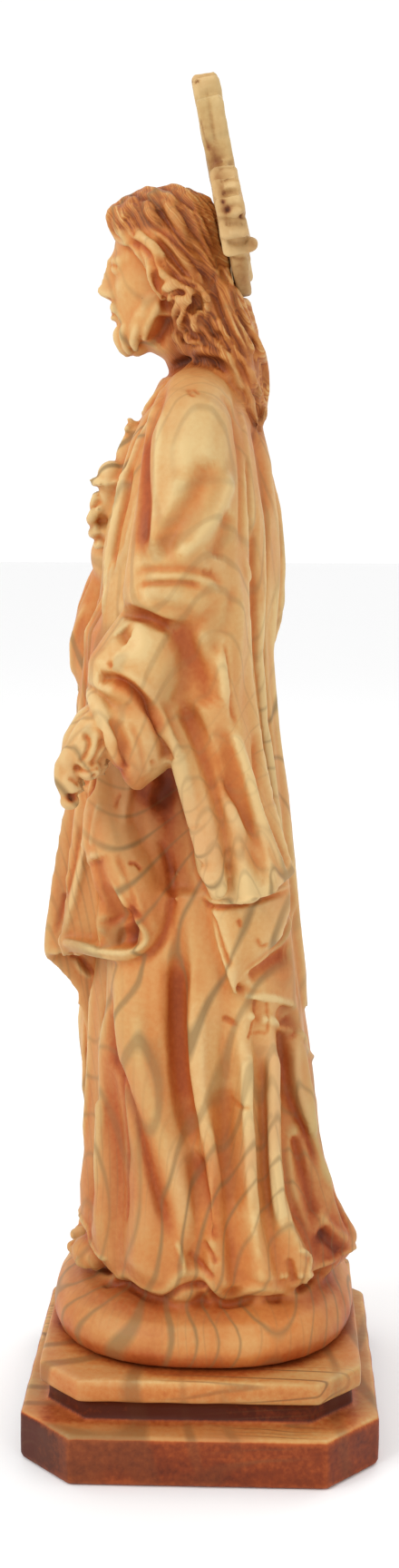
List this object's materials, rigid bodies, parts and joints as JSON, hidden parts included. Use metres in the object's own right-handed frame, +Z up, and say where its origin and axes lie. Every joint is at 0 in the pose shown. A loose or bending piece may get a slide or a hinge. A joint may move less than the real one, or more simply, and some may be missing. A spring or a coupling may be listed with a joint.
{
  "type": "sacred heart statue",
  "caption": "Standing robed figure pointing to a heart on its chest, with a rayed halo, on a rounded mound and a stepped plinth with cut corners.",
  "frame": {"origin": "centre of the plinth's underside", "axes": "+Z up; the figure faces -Y; +X is the figure's left, the side of its lowered hand"},
  "size_m": [0.09, 0.0804, 0.305],
  "materials": {
    "figure_resin": "satin cast resin, marbled like wood in cream and ochre with grey-green veins and red-brown airbrushing in the folds",
    "plinth_resin": "satin cast resin, dark red-brown sides with tan edges and fine grain lines",
    "halo_resin": "satin cast resin, pale cream"
  },
  "bodies": {
    "root": {"plinth": "plinth_resin", "figure": "figure_resin", "halo": "halo_resin"}
  },
  "joints": []
}
